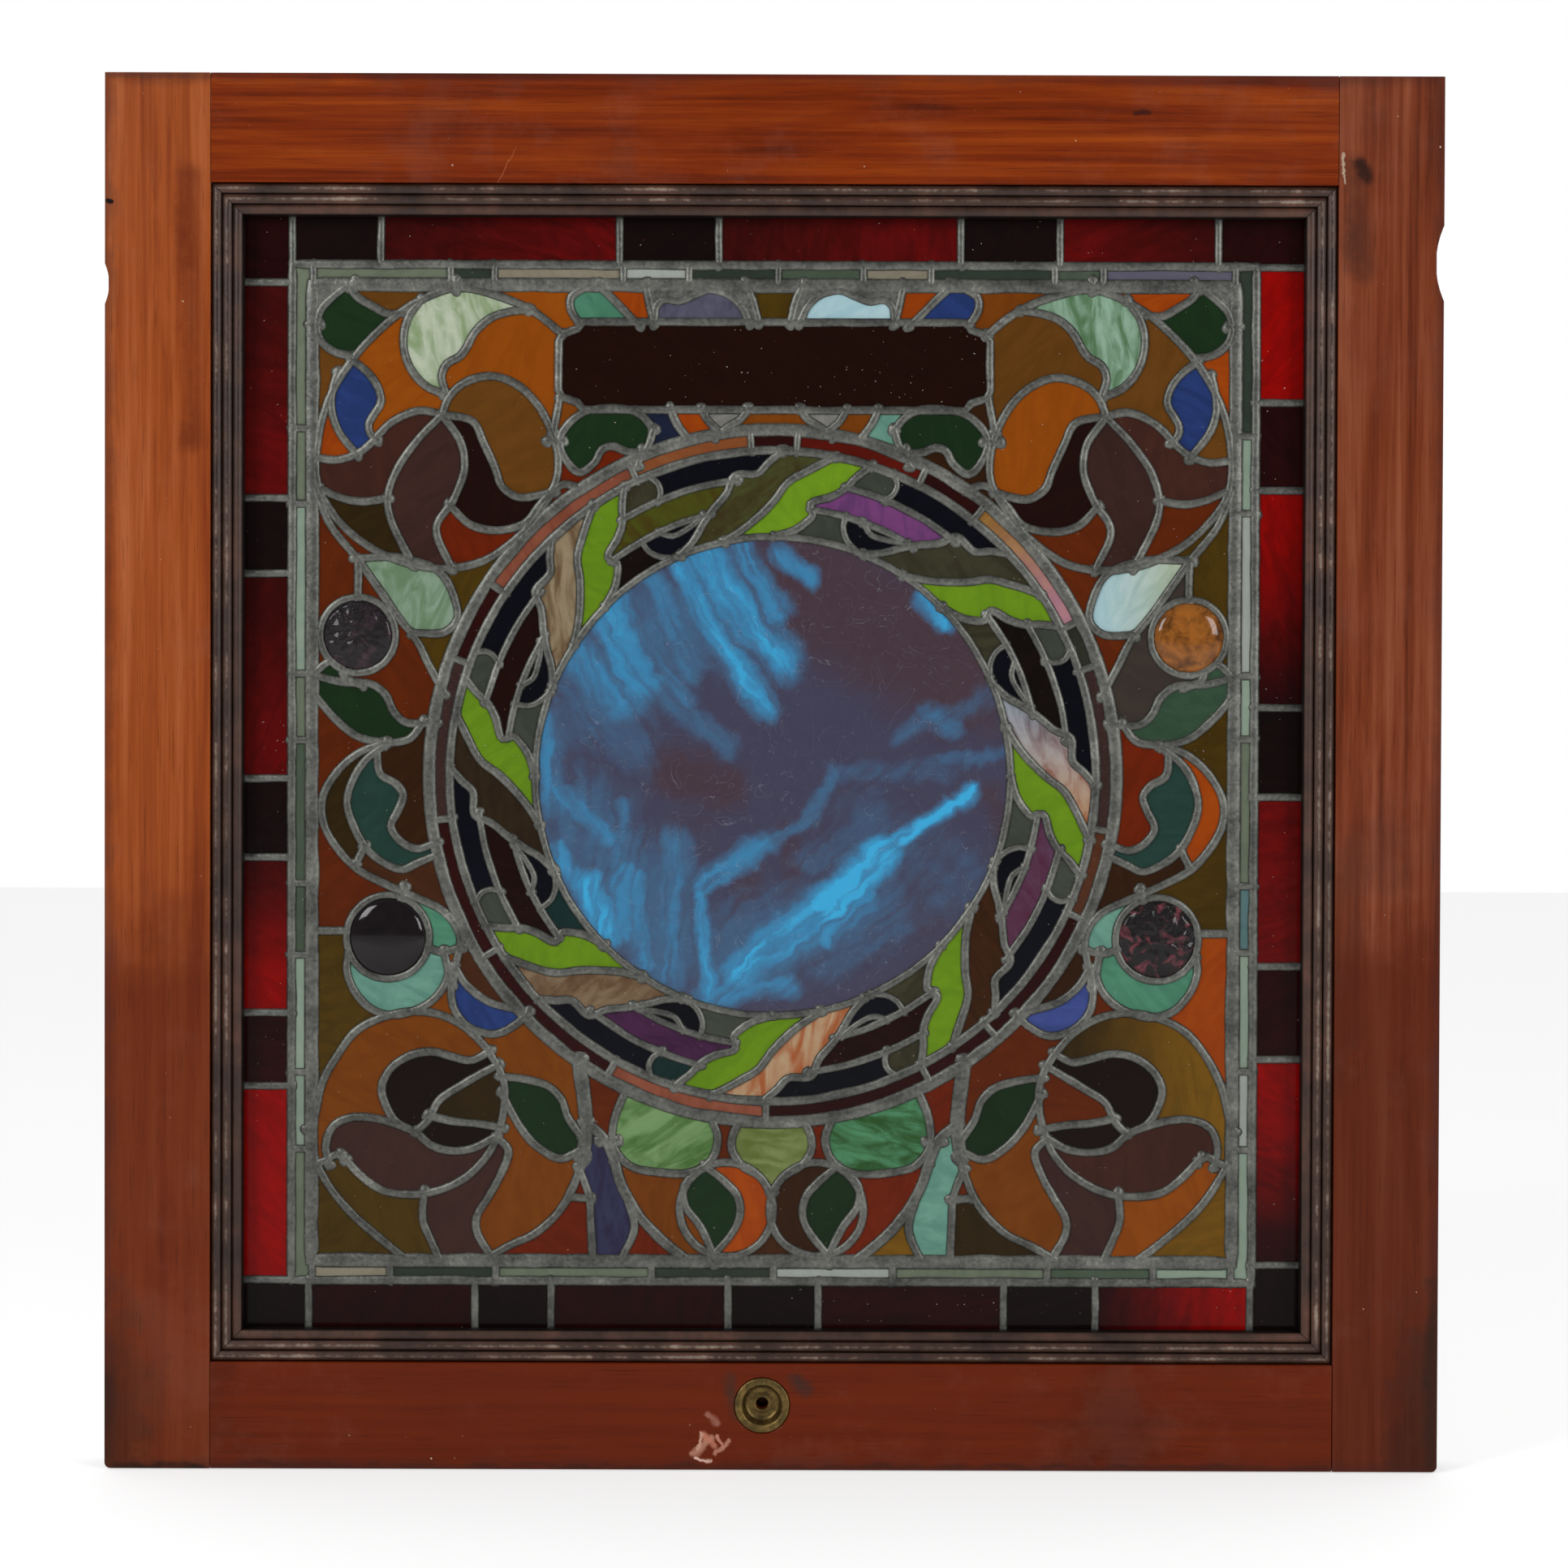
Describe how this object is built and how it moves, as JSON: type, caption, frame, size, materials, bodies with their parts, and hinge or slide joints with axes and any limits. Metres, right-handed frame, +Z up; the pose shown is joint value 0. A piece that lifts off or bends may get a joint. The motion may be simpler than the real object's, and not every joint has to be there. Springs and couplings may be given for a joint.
{
  "type": "stained_glass_window",
  "caption": "Nearly square leaded stained glass window in a wooden sash, with a wreathed disc, scrolls, flowers, round jewels and a bare plaque, to be built into an opening.",
  "frame": {"origin": "middle of the sash's bottom edge, half way through its thickness", "axes": "+X to the right and -Y to the front as the window is seen, +Z up"},
  "size_m": [0.762, 0.035, 0.796],
  "materials": {
    "mahogany": "worn varnish",
    "dark_bead": "dark worn varnish",
    "old_brass": "tarnished",
    "lead": "dull grey lead with solder",
    "art_glass": "coloured, partly opalescent",
    "slag_glass": "streaky",
    "dark_glass": "near black",
    "jewel_glass": "polished, domed"
  },
  "bodies": {
    "root": {"stile_left": "mahogany", "stile_right": "mahogany", "rail_top": "mahogany", "rail_bottom": "mahogany", "bead_top": "dark_bead", "bead_right": "dark_bead", "bead_bottom": "dark_bead", "bead_left": "dark_bead", "brass_cup": "old_brass", "lead_cames": "lead", "glass_border_bottom": "art_glass", "glass_border_left": "art_glass", "glass_inner_strip": "art_glass", "glass_corner_lower_left": "art_glass", "glass_bloom_foot_left": "art_glass", "glass_bloom_left": "art_glass", "glass_side_lower_left": "art_glass", "glass_side_scroll_left": "art_glass", "glass_side_leaf_left": "art_glass", "glass_narrow_ring": "art_glass", "glass_wreath_5": "art_glass", "glass_foot": "art_glass", "glass_wreath_6": "art_glass", "glass_wreath_7": "art_glass", "glass_disc": "slag_glass", "glass_wreath_4": "art_glass", "glass_stem_inner_left": "art_glass", "glass_stem_outer_left": "art_glass", "glass_flower_lower_left": "art_glass", "glass_side_upper_left": "art_glass", "glass_flower_upper_left": "art_glass", "glass_corner_upper_left": "art_glass", "glass_border_top": "art_glass", "glass_above_plaque": "art_glass", "glass_wreath_3": "art_glass", "glass_wreath_2": "art_glass", "glass_below_plaque": "art_glass", "glass_plaque": "dark_glass", "glass_bloom_foot_right": "art_glass", "glass_side_lower_right": "art_glass", "glass_wreath_8": "art_glass", "glass_corner_lower_right": "art_glass", "glass_bloom_right": "art_glass", "glass_border_right": "art_glass", "glass_side_scroll_right": "art_glass", "glass_wreath_1": "art_glass", "glass_side_leaf_right": "art_glass", "glass_flower_lower_right": "art_glass", "glass_side_upper_right": "art_glass", "glass_flower_upper_right": "art_glass", "glass_stem_inner_right": "art_glass", "glass_stem_outer_right": "art_glass", "glass_corner_upper_right": "art_glass", "jewel_upper_left": "jewel_glass", "jewel_upper_right": "jewel_glass", "jewel_lower_left": "jewel_glass", "jewel_lower_right": "jewel_glass"}
  },
  "joints": []
}
